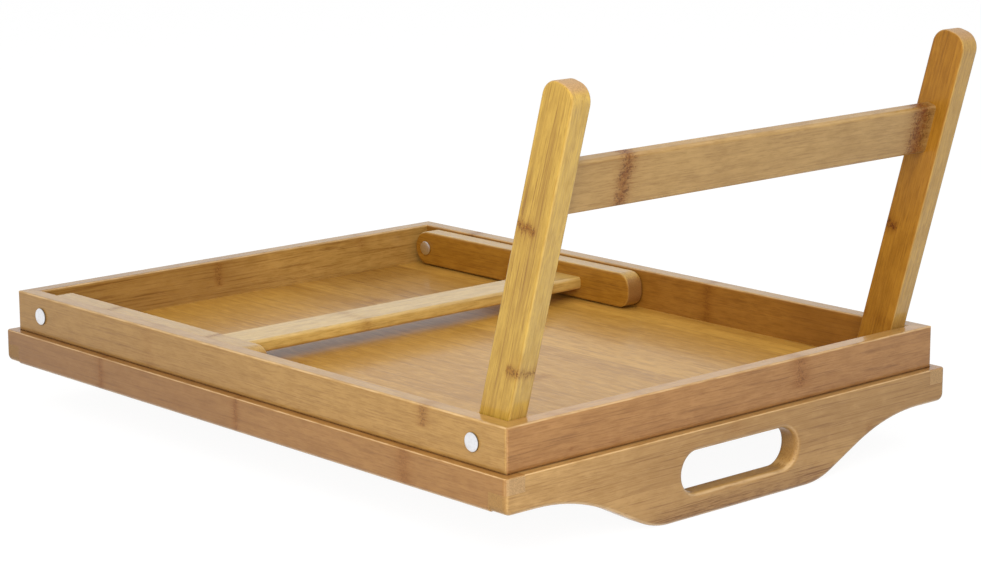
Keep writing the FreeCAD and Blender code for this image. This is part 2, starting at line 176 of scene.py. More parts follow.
class StudioStage(bpy.types.PropertyGroup):
    """Camera, lamps and floor."""
    azimuth: angle_setting("Azimuth", "Camera's direction round the tray", 47.68)
    elevation: angle_setting("Elevation", "Camera's height over the tray", 12.07)
    roll: angle_setting("Roll", "Camera's turn about its own view", -0.13)
    distance: length_setting("Distance", "Camera to the point it looks at", 1.9455)
    lens: bpy.props.FloatProperty(
        name="Lens", description="Focal length in millimetres", default=101.8, min=1,
        subtype="DISTANCE_CAMERA")
    surround: share_setting("Surround", "Light of the white studio walls on the tray", 0.42)
    key: bpy.props.FloatProperty(
        name="Key lamp", description="Power of the large soft lamp", default=25.0, min=0,
        subtype="POWER", unit="POWER")
    floor_size: length_setting("Floor", "Side of the square floor", 14.0)


# ---------------- shader building

MIX_FACTOR = 0  # a Mix node's sockets for colours
MIX_FIRST = 6
MIX_SECOND = 7
MIX_RESULT = 2


def opaque(colour):
    """A link as it is, or a colour of three numbers with its alpha."""
    return colour if isinstance(colour, bpy.types.NodeSocket) else (*colour, 1)


class Field:
    """A number that varies over a surface, as a socket gives it. Arithmetic adds Math nodes."""

    def __init__(self, graph, socket):
        self.graph = graph
        self.socket = socket

    def maths(self, operation, *others):
        """Field from a Math node that takes this field first."""
        node = self.graph.add("ShaderNodeMath", {"operation": operation}, [self, *others])
        return Field(self.graph, node.outputs[0])

    def __add__(self, other):
        return self.maths("ADD", other)

    def __sub__(self, other):
        return self.maths("SUBTRACT", other)

    def __mul__(self, other):
        return self.maths("MULTIPLY", other)

    def __truediv__(self, other):
        return self.maths("DIVIDE", other)

    def __rsub__(self, other):
        return Field(self.graph, other).maths("SUBTRACT", self)

    __radd__ = __add__
    __rmul__ = __mul__

    def floor(self):
        """Whole number below."""
        return self.maths("FLOOR")

    def size(self):
        """Value without its sign."""
        return self.maths("ABSOLUTE")

    def larger(self, other):
        """The larger of two fields."""
        return self.maths("MAXIMUM", other)

    def centred(self):
        """A field from 0 to 1 moved to lie evenly about 0."""
        return self - 0.5

    def from_middle(self):
        """0 in the middle of each whole step, 1 at its edges."""
        return (self - self.floor()).centred().size() * 2

    def rise(self, low, high):
        """0 below low, 1 above high, smooth between."""
        settings = {"interpolation_type": "SMOOTHSTEP"}
        values = {"Value": self, "From Min": low, "From Max": high}
        node = self.graph.add("ShaderNodeMapRange", settings, values)
        return Field(self.graph, node.outputs["Result"])

    def over(self, show):
        """0 below the low level of a Show, 1 above its high one."""
        return self.rise(show.low, show.high)

    def shown(self, show):
        """Share of a Show where the field is over it."""
        return self.over(show) * show.share

    def hidden(self, show):
        """Share of a Show where the field isn't over it."""
        return (1 - self.over(show)) * show.share

    def bell(self, width):
        """1 at zero, falling away on both sides within about the width."""
        share = self / width
        return (share * share * -1).maths("EXPONENT")


class Graph:
    """Node tree of one material, or of the world."""

    def __init__(self, owner):
        owner.use_nodes = True
        self.owner = owner
        self.tree = owner.node_tree
        self.tree.nodes.clear()

    def add(self, kind, settings=None, values=None):
        """Adds a node, sets its settings, then fills its sockets with values or links."""
        node = self.tree.nodes.new(kind)
        for key, value in (settings or {}).items():
            setattr(node, key, value)
        named = values.items() if isinstance(values, dict) else enumerate(values or [])
        for key, value in named:
            source = value.socket if isinstance(value, Field) else value
            if isinstance(source, bpy.types.NodeSocket):
                self.tree.links.new(source, node.inputs[key])
            else:
                node.inputs[key].default_value = source
        return node

    def join(self, x, y, z):
        """Vector from three fields or numbers."""
        return self.add("ShaderNodeCombineXYZ", None, [x, y, z]).outputs[0]

    def split(self, vector):
        """Three fields of a vector."""
        node = self.add("ShaderNodeSeparateXYZ", None, [vector])
        return [Field(self, output) for output in node.outputs]

    def scaled(self, vector, factor):
        """Vector times a number."""
        values = {"Vector": vector, "Scale": factor}
        return self.add("ShaderNodeVectorMath", {"operation": "SCALE"}, values).outputs[0]

    def mapped(self, vector, turn, origin=(0, 0, 0)):
        """Vector as a stick or rivet with that turn and origin sees it."""
        values = {"Vector": vector, "Location": origin, "Rotation": turn}
        return self.add("ShaderNodeMapping", {"vector_type": "TEXTURE"}, values).outputs[0]

    def noise(self, vector, grain, seed=0):
        """Smooth noise from 0 to 1 of a Grain, one cell to each unit of the vector."""
        values = {
            "Vector": vector, "W": seed + grain.key, "Scale": 1.0, "Detail": grain.detail,
            "Roughness": grain.roughness}
        node = self.add("ShaderNodeTexNoise", {"noise_dimensions": "4D"}, values)
        return Field(self, node.outputs[0])

    def dice(self, vector, seed):
        """One random number from 0 to 1 for each whole-number vector."""
        values = {"Vector": vector, "W": seed}
        node = self.add("ShaderNodeTexWhiteNoise", {"noise_dimensions": "4D"}, values)
        return Field(self, node.outputs["Value"])

    def blend(self, factor, first, second, blend_type="MIX"):
        """Colour that goes from the first to the second as the factor goes from 0 to 1.

        With the blend type MULTIPLY it goes to the first multiplied by the second.
        """
        settings = {"data_type": "RGBA", "blend_type": blend_type}
        values = {MIX_FACTOR: factor, MIX_FIRST: opaque(first), MIX_SECOND: opaque(second)}
        return self.add("ShaderNodeMix", settings, values).outputs[MIX_RESULT]

    def bump(self, height, distance, strength):
        """Normal raised by a height field, in metres at a height of 1."""
        values = {"Strength": strength, "Distance": distance, "Height": height}
        return self.add("ShaderNodeBump", None, values).outputs[0]

    def surface(self, shader):
        """Puts a shader on the output, and gives back the material or the world."""
        kind = "World" if isinstance(self.owner, bpy.types.World) else "Material"
        self.add("ShaderNodeOutput" + kind, None, {"Surface": shader})
        return self.owner


# ---------------- bamboo

# A brown band where the culm had a node: its place along the grain, its width, how dark it is,
# and between which levels across the face it shows. Millimetres from the stick's origin.
EVERYWHERE = (-1000, 1000)  # levels beyond every stick's edges
Knot = namedtuple("Knot", "place width depth low high", defaults=EVERYWHERE)

# A darker band along the grain, for streaks in the wood and for painted shade: its place and width
# across the face, how dark it is, and between which levels along the grain it runs. Millimetres from
# the stick's origin.
Streak = namedtuple("Streak", "place width depth low high")

# How a stick was sawn. The grain runs along one direction and the wide face looks to another.
# origin is where its measures start. strip and ply are a laminated strip's width and thickness,
# contrast how much strips differ, lines how dark the fibre bundles show, pitch how far apart
# they lie, wear how pale the arrises are from worn finish and painted highlight, soaked how much
# more stain the wide face took, inside how much painted shade darkens the inner face, and varnish
# how much varnish the piece has. ends and side are the tones of the cut ends and of the narrow sides,
# and seed picks the piece of bamboo.
CUT_VALUES = {
    "ply": 30.0, "contrast": 0.35, "lines": 0.5, "wear": 1.0, "soaked": 0.19, "inside": 0.0,
    "varnish": 1.0, "knots": (), "streaks": (), "ends": None, "side": None, "on_ledge": False,
}
Cut = namedtuple(
    "Cut", ["along", "face", "origin", "seed", "strip", "pitch", *CUT_VALUES],
    defaults=CUT_VALUES.values())

# Seed of a group's first stick. Its other sticks take the next whole numbers.
SEEDS = {
    "board": 2, "rim": 11, "handle": 21, "rail": 31, "end": 35, "leg": 41, "crossbar": 51,
    "joinery": 61,
}

# Node bands, streaks and painted shade by piece: as photographed, and plausible ones on the hidden
# sides.
KNOTS = {
    "serving_board": (
        Knot(-150, 5, 0.5, 40, 62), Knot(96, 5, 0.45, -30, -8), Knot(-40, 5, 0.4, -120, -98)),
    "rim_rail_front": (Knot(-142, 3.2, 0.55), Knot(6, 3.0, 0.55), Knot(168, 6.0, 0.50)),
    "rim_rail_back": (Knot(-60, 4.0, 0.5), Knot(120, 4.0, 0.5)),
    "handle_panel_right": (Knot(-5, 5.0, 0.28, -2, 6), Knot(120, 4.0, 0.4, -60, -18)),
    "handle_panel_left": (Knot(40, 5.0, 0.4, -14, 6), Knot(-130, 4.0, 0.4)),
    "frame_rail_front": (Knot(178, 5.0, 0.60, 20, 34), Knot(-96, 5.0, 0.2)),
    "frame_rail_back": (Knot(-187, 4.5, 0.7), Knot(60, 4.5, 0.5)),
    "frame_end_right": (Knot(60, 7.0, 0.60, 14, 34), Knot(-138, 1.4, 0.7, 11, 13)),
    "frame_end_left": (Knot(-25, 4.0, 0.6, -32, -14), Knot(110, 4.0, 0.4, -34, -24)),
    "leg_right_front": (Knot(131, 3.0, 1.0, -4, 12), Knot(46, 3.4, 0.85, -13, -2)),
    "leg_right_back": (Knot(84, 3.4, 1.0, -14, -3), Knot(20, 4.0, 0.3)),
    "leg_left_front": (Knot(60, 3.4, 0.6), Knot(170, 3.0, 0.6)),
    "leg_left_back": (Knot(100, 3.4, 0.6),),
    # The open crossbar's second band darkens it close to its back end.
    "crossbar_right": (Knot(-112, 5.5, 1.05), Knot(150, 8.0, 1.25)),
    "crossbar_left": (Knot(-40, 5.0, 0.4), Knot(130, 5.0, 0.5)),
}

# The rim rails' band is painted shade: the rails grow darker towards the left end.
RIM_PAINTED_SHADE = (Streak(0, 40, 0.42, -420, 60),)
# The first band darkens the handle's lower part by its crest: partly the wood's own tone, partly
# painted shade. The second is a broad streak.
HANDLE_STREAKS_AND_SHADE = (Streak(-46, 9, 0.9, -100, 100), Streak(-8, 60, 0.50, -170, 420))
STREAKS_AND_SHADE = {
    # Painted shade: the board darker behind the folded crossbar, towards the left end and the back.
    "serving_board": (Streak(80, 70, 0.60, -300, -110), Streak(115, 42, 0.60, -300, -190)),
    "rim_rail_front": RIM_PAINTED_SHADE,
    "rim_rail_back": RIM_PAINTED_SHADE,
    "handle_panel_left": HANDLE_STREAKS_AND_SHADE,
    "handle_panel_right": HANDLE_STREAKS_AND_SHADE,
    # Painted shade: the front rail grows darker towards the left end.
    "frame_rail_front": (Streak(0, 60, 0.26, -420, 60),),
    "frame_rail_back": (Streak(-20, 60, 0.55, 110, 400),),
    # Painted shade over the left end rail, its front and middle.
    "frame_end_left": (Streak(-20, 40, 0.72, -300, 40),),
    "leg_right_front": (
        Streak(-2.5, 1.6, 0.70, 60, 215), Streak(-5.5, 0.8, 0.60, 20, 200),
        Streak(3.5, 0.8, 0.50, -10, 120), Streak(8, 1.2, 0.45, 120, 222)),
}

# A noise that follows the grain: its length along the grain and its width across it in
# millimetres, its detail and roughness, and a key that keeps it apart from a stick's other ones.
Grain = namedtuple("Grain", "length width detail roughness key")

WAVER = Grain(120, 30, 1.0, 0.5, 0)  # slow bend of all fibres
FINE = Grain(12, 1.0, 3.0, 0.7, 2)  # single fibres
BUNDLE = Grain(55, None, 3.0, 0.6, 3)  # fibre bundles, as wide as the stick's pitch
WOBBLE = Grain(90, 4, 2.0, 0.6, 4)  # way of a node band across the face
DRIFT = Grain(70, 6, 2.0, 0.5, 5)  # slow change of tone along a culm
MOTTLE = Grain(16, 6, 3.0, 0.6, 6)  # patches of stain
FLECKS = Grain(4.0, 0.9, 3.0, 0.65, 7)  # streaks within a node band
TORN = Grain(1.8, 1.5, 2.0, 0.6, 8)  # torn dots within a node band
SWIRL = Grain(2.2, 1.8, 2.0, 0.6, 9)  # fibres parted by a node
DOTS = Grain(3, 0.75, 2.0, 0.7, 10)  # bundles cut across
RUBBED = Grain(18, 4, 3.0, 0.6, 11)  # patches rubbed off an arris
FRINGE = Grain(25, 0.8, 2.0, 0.6, 12)  # stain drawn out of a band along the fibres
STRIP_KEY = 1  # key of the strips' own tones
STRIP_SHIFT = 0.37  # moves the strips of one stick against the next one's

# How a field shows: it starts at low, is full at high, and then takes this share of the tone.
Show = namedtuple("Show", "low high share", defaults=(1.0,))

FINE_PALE = Show(0.38, 0.62, 0.40)
FINE_DEEP = Show(0.36, 0.50, 0.50)
BUNDLE_PALE = Show(0.34, 0.48, 0.22)
BUNDLE_DARK = Show(0.50, 0.68)
BUNDLE_DRIFT = Show(0.26, 0.60)  # culm tone at which the bundles show
DRIFT_DEEP = Show(0.30, 0.72, 0.55)
DRIFT_MIDDLE = 0.25  # share of the drift that leaves the tone as it is
MOTTLE_DEEP = Show(0.46, 0.70, 0.42)
MOTTLE_PALE = Show(0.32, 0.48, 0.38)
FLECK_DARK = Show(0.34, 0.66, 0.45)
TORN_DARK = Show(0.50, 0.58, 0.62)
TORN_BAND = Show(0.30, 0.80)  # strength of a band at which it is torn
DOT_DARK = Show(0.40, 0.62, 0.70)
RUBBED_PALE = Show(0.34, 0.60, 0.40)
CUT_END = Show(0.55, 0.92, 0.85)  # the normal's part along the grain
NARROW_SIDE = Show(0.55, 0.90, 0.85)  # its part across the wide face
WIDE_FACE = Show(0.5, 0.9)  # its part out of the wide face
OFF_SQUARE = Show(0.02, 0.22)  # how far it is from any of the three
GLUE_FACE = Show(0.4, 0.8, 0.8)  # the normal's part along the grain that ends the glue
ARRIS_FACE = Show(0.3, 0.7)  # and that ends an arris

LIGHT_GAIN = 1.20  # light fibres against the base tone
LIGHT_LIFT = 0.012
DEEP_SHARES = (0.74, 0.66, 0.52)  # deep fibres against the base tone, red to blue
CUT_DOT_SHARE = 0.62  # cut bundles against the end's tone
GLUE_LINE = 0.8  # width of a glue line, in millimetres
GLUE_SHARE = 0.24
FACE_LEVEL = 0.75  # where the wide face lies in its ply, clear of the glue
BAND_SHARE = 0.40  # tone that a node band takes between its flecks
ARRIS_SHARE = 0.20  # painted highlight that an arris takes where it isn't rubbed
SIDE_LINES = 0.7  # share of the dark bundles that a paler side hides
SEAM_WIDTH = 1.2  # millimetres of the dark joint line and painted contact shade at a joint
SEAM_SHARE = 0.6
STREAK_AND_SHADE_SHARES = (0.35, 0.35, 0.30)  # of a streak and of painted shade alike, on fibres, on bundles and anywhere
STREAK_AND_SHADE_FADE = 0.2  # share of the length of a streak or of painted shade in which it fades at each end

WAVER_REACH = 3.0  # millimetres, as the next three
SWIRL_REACH = 6.0
WOBBLE_REACH = 5.0
BAND_EDGE = 1.5  # softness of a band's ends across the face
FRINGE_REACH = 1.8  # in widths of the band, as the next one
HALO_WIDTH = 2.2
HALO_SHARE = 0.22
CORE_SHARE = 0.80

FIBRE_HEIGHT = 0.25  # in depths of the bump, as the next four
BUNDLE_HEIGHT = -0.35
GLUE_HEIGHT = -0.5
BAND_HEIGHT = 0.9
TORN_HEIGHT = -0.8
BUMP_DEPTH = 0.10 * MM
BUMP_STRENGTH = 0.5
ROUGHNESS = 0.34
MOTTLE_ROUGHNESS = 0.16
FIBRE_ROUGHNESS = 0.05
END_ROUGHNESS = 0.14
BARE_END = 0.6  # share of the varnish that a cut end lacks
BARE_BAND = 0.7  # that a node band lacks
BARE_INSIDE = 0.7  # and that an inner face lacks
VARNISH_IOR = 1.5
WOOD_SPECULAR = 0.2


def total_of(fields):
    """Sum of the fields, or None where there are none."""
    total = None
    for field in fields:
        total = field if total is None else total + field
    return total


class Bamboo:
    """Varnished laminated bamboo of one stick, laid on layer by layer.

    u runs along the grain, v across the wide face and w out of it, in millimetres. along, across
    and through are the normal's parts in those directions.
    """

    def __init__(self, name, cut, base, finish):
        self.graph = Graph(bpy.data.materials.new(name))
        self.cut = cut
        self.finish = finish
        coordinates = self.graph.add("ShaderNodeTexCoord").outputs
        across = cut.face.cross(cut.along)
        turn = Matrix((cut.along, across, cut.face)).transposed().to_euler("XYZ")
        self.place = coordinates["Object"]
        local = self.graph.mapped(self.place, turn, cut.origin)
        self.u, self.v, self.w = self.graph.split(self.graph.scaled(local, 1 / MM))
        normal = self.graph.mapped(coordinates["Normal"], turn)
        self.along, self.across, self.through = self.graph.split(normal)
        self.end_grain = self.along.size().over(CUT_END)
        self.light = [min(1, value * LIGHT_GAIN + LIGHT_LIFT) for value in base]
        self.deep = [value * share for value, share in zip(base, DEEP_SHARES)]
        self.band = self.node_bands()
        self.fibre_v = self.v + self.noise(WAVER).centred() * WAVER_REACH
        if self.band is not None:
            swirl = self.noise(SWIRL).centred() * self.band * SWIRL_REACH
            self.fibre_v = self.fibre_v + swirl
        self.fine = self.noise(FINE, self.fibre_v)
        self.bundle = self.noise(BUNDLE._replace(width=cut.pitch), self.fibre_v)
        self.mottle = self.noise(MOTTLE)
        self.fine_lines = self.fine.over(FINE_PALE)
        self.dark_lines = self.bundle.over(BUNDLE_DARK)

    def noise(self, grain, v=None):
        """Noise along the grain, across the straight or the given v."""
        across = self.v if v is None else v
        place = self.graph.join(self.u / grain.length, across / grain.width, self.w / grain.width)
        return self.graph.noise(place, grain, self.cut.seed)

    def tint(self, factor, tone):
        """Takes the colour towards a tone."""
        self.colour = self.graph.blend(factor, self.colour, tone)

    def node_bands(self):
        """Strength of the node bands, torn along the grain at both edges."""
        sway = self.noise(WOBBLE).centred() * WOBBLE_REACH
        fringe = self.noise(FRINGE).centred()
        bands = []
        for knot in self.cut.knots:
            start = self.v.rise(knot.low - BAND_EDGE, knot.low + BAND_EDGE)
            stop = self.v.rise(knot.high - BAND_EDGE, knot.high + BAND_EDGE)
            distance = self.u - knot.place + sway + fringe * (knot.width * FRINGE_REACH)
            core = distance.bell(knot.width) * CORE_SHARE
            halo = distance.bell(knot.width * HALO_WIDTH) * HALO_SHARE
            bands.append((core + halo) * (start * (1 - stop)) * knot.depth)
        return total_of(bands)

    def lay_strips(self):
        """Laminated strips, each from another culm, and the glue between them."""
        cut = self.cut
        row = self.fibre_v / cut.strip + cut.seed * STRIP_SHIFT
        layer = self.w / cut.ply + FACE_LEVEL
        cell = self.graph.join(row.floor(), layer.floor(), 0)
        strip_tone = self.graph.dice(cell, cut.seed + STRIP_KEY).centred() * cut.contrast
        self.colour = self.graph.blend(strip_tone + 0.5, self.light, self.deep)
        edge = row.from_middle().rise(1 - GLUE_LINE / cut.strip, 1)
        bed = layer.from_middle().rise(1 - GLUE_LINE / cut.ply, 1)
        self.glue = edge.larger(bed) * self.along.size().hidden(GLUE_FACE)

    def lay_fibres(self):
        """Drift along the culm, paler narrow sides, fibres, dark bundles and patches of stain."""
        drift = self.noise(DRIFT, self.fibre_v)
        culm = (drift.over(DRIFT_DEEP) - DRIFT_MIDDLE) * DRIFT_DEEP.share
        self.tint(culm, self.deep)
        lines = self.cut.lines
        if self.cut.side:
            side = self.across.size().over(NARROW_SIDE)
            self.tint(side * NARROW_SIDE.share, self.cut.side)
            lines = self.cut.lines * (1 - side * SIDE_LINES)
        pale = self.fine_lines * FINE_PALE.share + self.bundle.hidden(BUNDLE_PALE)
        self.tint(pale, self.light)
        self.tint(self.fine.hidden(FINE_DEEP), self.deep)
        self.tint(self.dark_lines * drift.shown(BUNDLE_DRIFT) * lines, self.finish.fibre)
        self.tint(self.mottle.shown(MOTTLE_DEEP), self.deep)
        self.tint(self.mottle.hidden(MOTTLE_PALE), self.light)
        self.tint(self.glue * GLUE_SHARE, self.finish.fibre)
        soaked = self.through.over(WIDE_FACE) * self.cut.soaked
        self.tint(soaked, self.finish.fibre)
        fibres = self.fine_lines * FIBRE_HEIGHT + self.dark_lines * BUNDLE_HEIGHT
        self.height = fibres + self.glue * GLUE_HEIGHT

    def lay_streaks_and_shade(self):
        """Darker streaks and painted shade along the grain, strongest on the fibres."""
        streaks = []
        for streak_and_shade in self.cut.streaks:
            fade = (streak_and_shade.high - streak_and_shade.low) * STREAK_AND_SHADE_FADE
            start = self.u.rise(streak_and_shade.low, streak_and_shade.low + fade)
            stop = self.u.rise(streak_and_shade.high - fade, streak_and_shade.high)
            line = (self.fibre_v - streak_and_shade.place).bell(streak_and_shade.width)
            streaks.append(line * start * (1 - stop) * streak_and_shade.depth)
        streak_and_shade = total_of(streaks)
        if streak_and_shade is not None:
            on_fibre, on_bundle, anywhere = STREAK_AND_SHADE_SHARES
            shares = self.fine_lines * on_fibre + self.dark_lines * on_bundle + anywhere
            self.tint(streak_and_shade * shares, self.finish.fibre)

    def lay_node_bands(self):
        """Brown bands, streaked along the grain and torn in their core."""
        if self.band is None:
            return
        flecks = self.noise(FLECKS, self.fibre_v)
        torn = self.noise(TORN, self.fibre_v)
        dashes = torn.over(TORN_DARK) * self.band.shown(TORN_BAND)
        self.tint(self.band * (flecks.shown(FLECK_DARK) + BAND_SHARE), self.finish.knot)
        self.tint(dashes * TORN_DARK.share, self.finish.seam)
        self.height = self.height + self.band * flecks * BAND_HEIGHT + dashes * TORN_HEIGHT

    def lay_cut_ends(self):
        """Cut ends, where the bundles show as dots."""
        pith = self.cut.ends or self.finish.pith
        dots = self.noise(DOTS).shown(DOT_DARK)
        end_tone = self.graph.blend(dots, pith, [value * CUT_DOT_SHARE for value in pith])
        self.tint(self.end_grain * CUT_END.share, end_tone)

    def sheen_and_rub_arrises(self):
        """Pale arrises: a painted highlight along every arris, paler still where the finish is rubbed
        thin.
        """
        squareness = self.along.size().larger(self.across.size()).larger(self.through.size())
        arris = (1 - squareness).shown(OFF_SQUARE) * self.along.size().hidden(ARRIS_FACE)
        rubbed_and_sheen = self.noise(RUBBED).shown(RUBBED_PALE) + ARRIS_SHARE
        self.tint(arris * rubbed_and_sheen * self.cut.wear, self.finish.worn_and_sheen)

    def shade_inner_face(self):
        """Painted shade multiplied into the face that looks into the tray, and less varnish there."""
        painted_inner_shade = (0 - self.through).over(WIDE_FACE) * self.cut.inside
        self.colour = self.graph.blend(
            painted_inner_shade, self.colour, self.finish.inside, blend_type="MULTIPLY")
        return painted_inner_shade * BARE_INSIDE

    def darken_seam_and_shade(self):
        """Dark joint line and painted contact shade along the joint between the leg frame's foot and
        the ledge.
        """
        x, y, z = self.graph.split(self.graph.scaled(self.place, 1 / MM))
        beyond_end = x.size() - HALF_FRAME_X / MM
        beyond_side = y.size() - HALF_FRAME_Y / MM
        level = (z - LEDGE_LEVEL / MM).bell(SEAM_WIDTH)
        seam = beyond_end.larger(beyond_side).bell(SEAM_WIDTH) * level
        self.tint(seam * SEAM_SHARE, self.finish.seam)

    def finished(self):
        """Lays on every layer, then the varnish, and gives the material."""
        self.lay_strips()
        self.lay_fibres()
        self.lay_streaks_and_shade()
        self.lay_node_bands()
        self.lay_cut_ends()
        self.sheen_and_rub_arrises()
        bare = self.end_grain * BARE_END
        if self.band is not None:
            bare = bare + self.band * BARE_BAND
        # painted shade and less varnish on the face that looks into the tray
        if self.cut.inside:
            bare = bare + self.shade_inner_face()
        # dark joint line and painted contact shade along the frame's foot
        if self.cut.on_ledge:
            self.darken_seam_and_shade()
        uneven = self.mottle * MOTTLE_ROUGHNESS + self.fine_lines * FIBRE_ROUGHNESS
        varnish = (1 - bare).larger(0) * (self.finish.varnish * self.cut.varnish)
        shader = self.graph.add("ShaderNodeBsdfPrincipled", None, {
            "Base Color": self.colour,
            "Roughness": uneven + self.end_grain * END_ROUGHNESS + ROUGHNESS,
            "IOR": VARNISH_IOR,
            "Specular IOR Level": WOOD_SPECULAR,
            "Coat Weight": varnish,
            "Coat Roughness": self.finish.varnish_roughness,
            "Normal": self.graph.bump(self.height, BUMP_DEPTH, BUMP_STRENGTH),
        })
        return self.graph.surface(shader.outputs[0])


def dress(node, material):
    """Puts a material on a construction piece."""
    for slot in frame["nodes"][node].material_slots:
        slot.material = material


# ---------------- metal

RINGS = Grain(2.0, 0.12, 2.0, 0.6, 3)  # turning marks, along the axis and across them
RING_SHARE = 0.12
RING_ROUGHNESS = 0.08
RING_DEPTH = 0.012 * MM
RING_BUMP = 0.6
SMUDGES = Grain(1.6, 1.6, 3.0, 0.6, 8)
SMUDGE_DULL = Show(0.42, 0.70, 0.5)
SMUDGE_ROUGHNESS = 0.14
DULL_METAL = 0.80  # of the metal's tone, as the next one
EDGE_SHADE_METAL = 0.30
EDGE_SHADE_SHARE = 0.85
EDGE_SHADE_ONSET = 0.15  # millimetres over which the painted edge shade sets in
HEAD_ROUGHNESS = 0.22
WASHER_ROUGHNESS = 0.30


def brushed_metal(name, base, centre, roughness, shade_radius):
    """Plated steel with faint turning marks round a Y axis, with painted shade and dark reflection
    from the given radius outwards.
    """
    graph = Graph(bpy.data.materials.new(name))
    place = graph.add("ShaderNodeTexCoord").outputs["Object"]
    turn = Y_AXIS.to_track_quat("Z", "Y").to_euler("XYZ")
    u, v, w = graph.split(graph.scaled(graph.mapped(place, turn, centre), 1 / MM))
    radius = (u * u + v * v).maths("SQRT")
    ring_place = graph.join(radius / RINGS.width, w / RINGS.length, 0)
    rings = graph.noise(ring_place, RINGS)
    smudge_place = graph.join(u / SMUDGES.width, v / SMUDGES.width, w / SMUDGES.length)
    smudge = graph.noise(smudge_place, SMUDGES)
    dull = smudge.shown(SMUDGE_DULL) + rings * RING_SHARE
    colour = graph.blend(dull, base, [value * DULL_METAL for value in base])
    # painted shade and dark reflection on the metal beyond the given radius
    bare = radius.rise(shade_radius / MM - EDGE_SHADE_ONSET, shade_radius / MM) * EDGE_SHADE_SHARE
    colour = graph.blend(bare, colour, [value * EDGE_SHADE_METAL for value in base])
    uneven = rings * RING_ROUGHNESS + smudge * SMUDGE_ROUGHNESS
    shader = graph.add("ShaderNodeBsdfPrincipled", None, {
        "Base Color": colour,
        "Metallic": 1.0,
        "Roughness": uneven + roughness,
        "Normal": graph.bump(rings, RING_DEPTH, RING_BUMP),
    })
    return graph.surface(shader.outputs[0])


# ---------------- modelling the rivets

RIVET_SEGMENTS = 64
DOME_RINGS = 7
BEVEL_SEGMENTS = 3
SHARP_ANGLE = math.radians(40)  # edges sharper than this are bevelled
SMOOTH_ANGLE = math.radians(35)  # and edges flatter than this are shaded smooth


def deselect_all():
    """Nothing selected, in object mode."""
    if bpy.context.object and bpy.context.object.mode != "OBJECT":
        bpy.ops.object.mode_set(mode="OBJECT")
    bpy.ops.object.select_all(action="DESELECT")


def select_only(piece):
    """Makes one piece active and selected."""
    deselect_all()
    piece.select_set(True)
    bpy.context.view_layer.objects.active = piece


def turned_piece(name, centre, stations):
    """Round solid about a Y axis, drawn out of a disc station by station: (level along Y, radius)."""
    deselect_all()
    level, radius = stations[0]
    bpy.ops.mesh.primitive_circle_add(
        vertices=RIVET_SEGMENTS, radius=radius, fill_type="NGON", location=(centre.x, level, centre.z),
        rotation=(math.pi / 2, 0, 0))
    piece = bpy.context.object
    piece.name = name
    bpy.ops.object.transform_apply(location=True, rotation=True, scale=True)
    bpy.ops.object.mode_set(mode="EDIT")
    bpy.ops.mesh.select_all(action="SELECT")
    for next_level, next_radius in stations[1:]:
        step = (0, next_level - level, 0)
        bpy.ops.mesh.extrude_region_move(TRANSFORM_OT_translate={"value": step})
        scale = next_radius / radius
        bpy.ops.transform.resize(
            value=(scale, 1, scale), center_override=(centre.x, next_level, centre.z))
        level, radius = next_level, next_radius
    bpy.ops.mesh.select_all(action="SELECT")
    bpy.ops.mesh.normals_make_consistent(inside=False)
    bpy.ops.object.mode_set(mode="OBJECT")
    return piece


def dome_stations(seat, outward, radius, height, edge_height):
    """Stations of a low dome over an upright edge, from the edge to the crown."""
    rise = height - edge_height
    sphere = (radius * radius + rise * rise) / (2 * rise)
    widest = math.asin(radius / sphere)
    stations = [(seat, radius)]
    for index in range(DOME_RINGS):
        angle = widest * (1 - index / DOME_RINGS)
        drop = sphere * (1 - math.cos(angle))
        stations.append((seat + outward * (height - drop), sphere * math.sin(angle)))
    return stations


def soften_edges(piece, width):
    """Small bevel on the piece's sharp edges, applied, then smooth shading."""
    select_only(piece)
    bevel = piece.modifiers.new("soft_edge", "BEVEL")
    bevel.width = width
    bevel.segments = BEVEL_SEGMENTS
    bevel.limit_method = "ANGLE"
    bevel.angle_limit = SHARP_ANGLE
    bpy.ops.object.modifier_apply(modifier=bevel.name)
    bpy.ops.object.shade_smooth_by_angle(angle=SMOOTH_ANGLE)


def copy_of(piece, name):
    """Copy of a piece with its own mesh, made active."""
    select_only(piece)
    bpy.ops.object.duplicate(linked=False)
    twin = bpy.context.object
    twin.name = name
    return twin


# ---------------- the pieces' operators

class PieceOperator(bpy.types.Operator):
    """Base of the operators that finish the table's pieces."""
    bl_options = {"REGISTER", "UNDO"}

    @property
    def finish(self):
        """The user's bamboo tones and varnish."""
        return bpy.context.scene.bamboo_finish

    def clad(self, node, label, base, **sawing):
        """Gives a construction piece its own bamboo, with its node bands and streaks."""
        cut = Cut(knots=KNOTS.get(node, ()), streaks=STREAKS_AND_SHADE.get(node, ()), **sawing)
        dress(node, Bamboo("bamboo_" + label, cut, base, self.finish).finished())


class BED_TRAY_OT_board(PieceOperator):
    """Finish the serving board: wide strips of bamboo along the tray"""
    bl_idname = "bed_tray.board"
    bl_label = "Serving Board"

    def execute(self, context):
        self.clad("serving_board", "board", self.finish.board, along=X_AXIS, face=Z_AXIS,
                  origin=CENTRE, seed=SEEDS["board"], strip=20.0, ply=40.0, soaked=0.0,
                  contrast=0.9, lines=0.35, pitch=2.4, varnish=0.60)
        return {"FINISHED"}


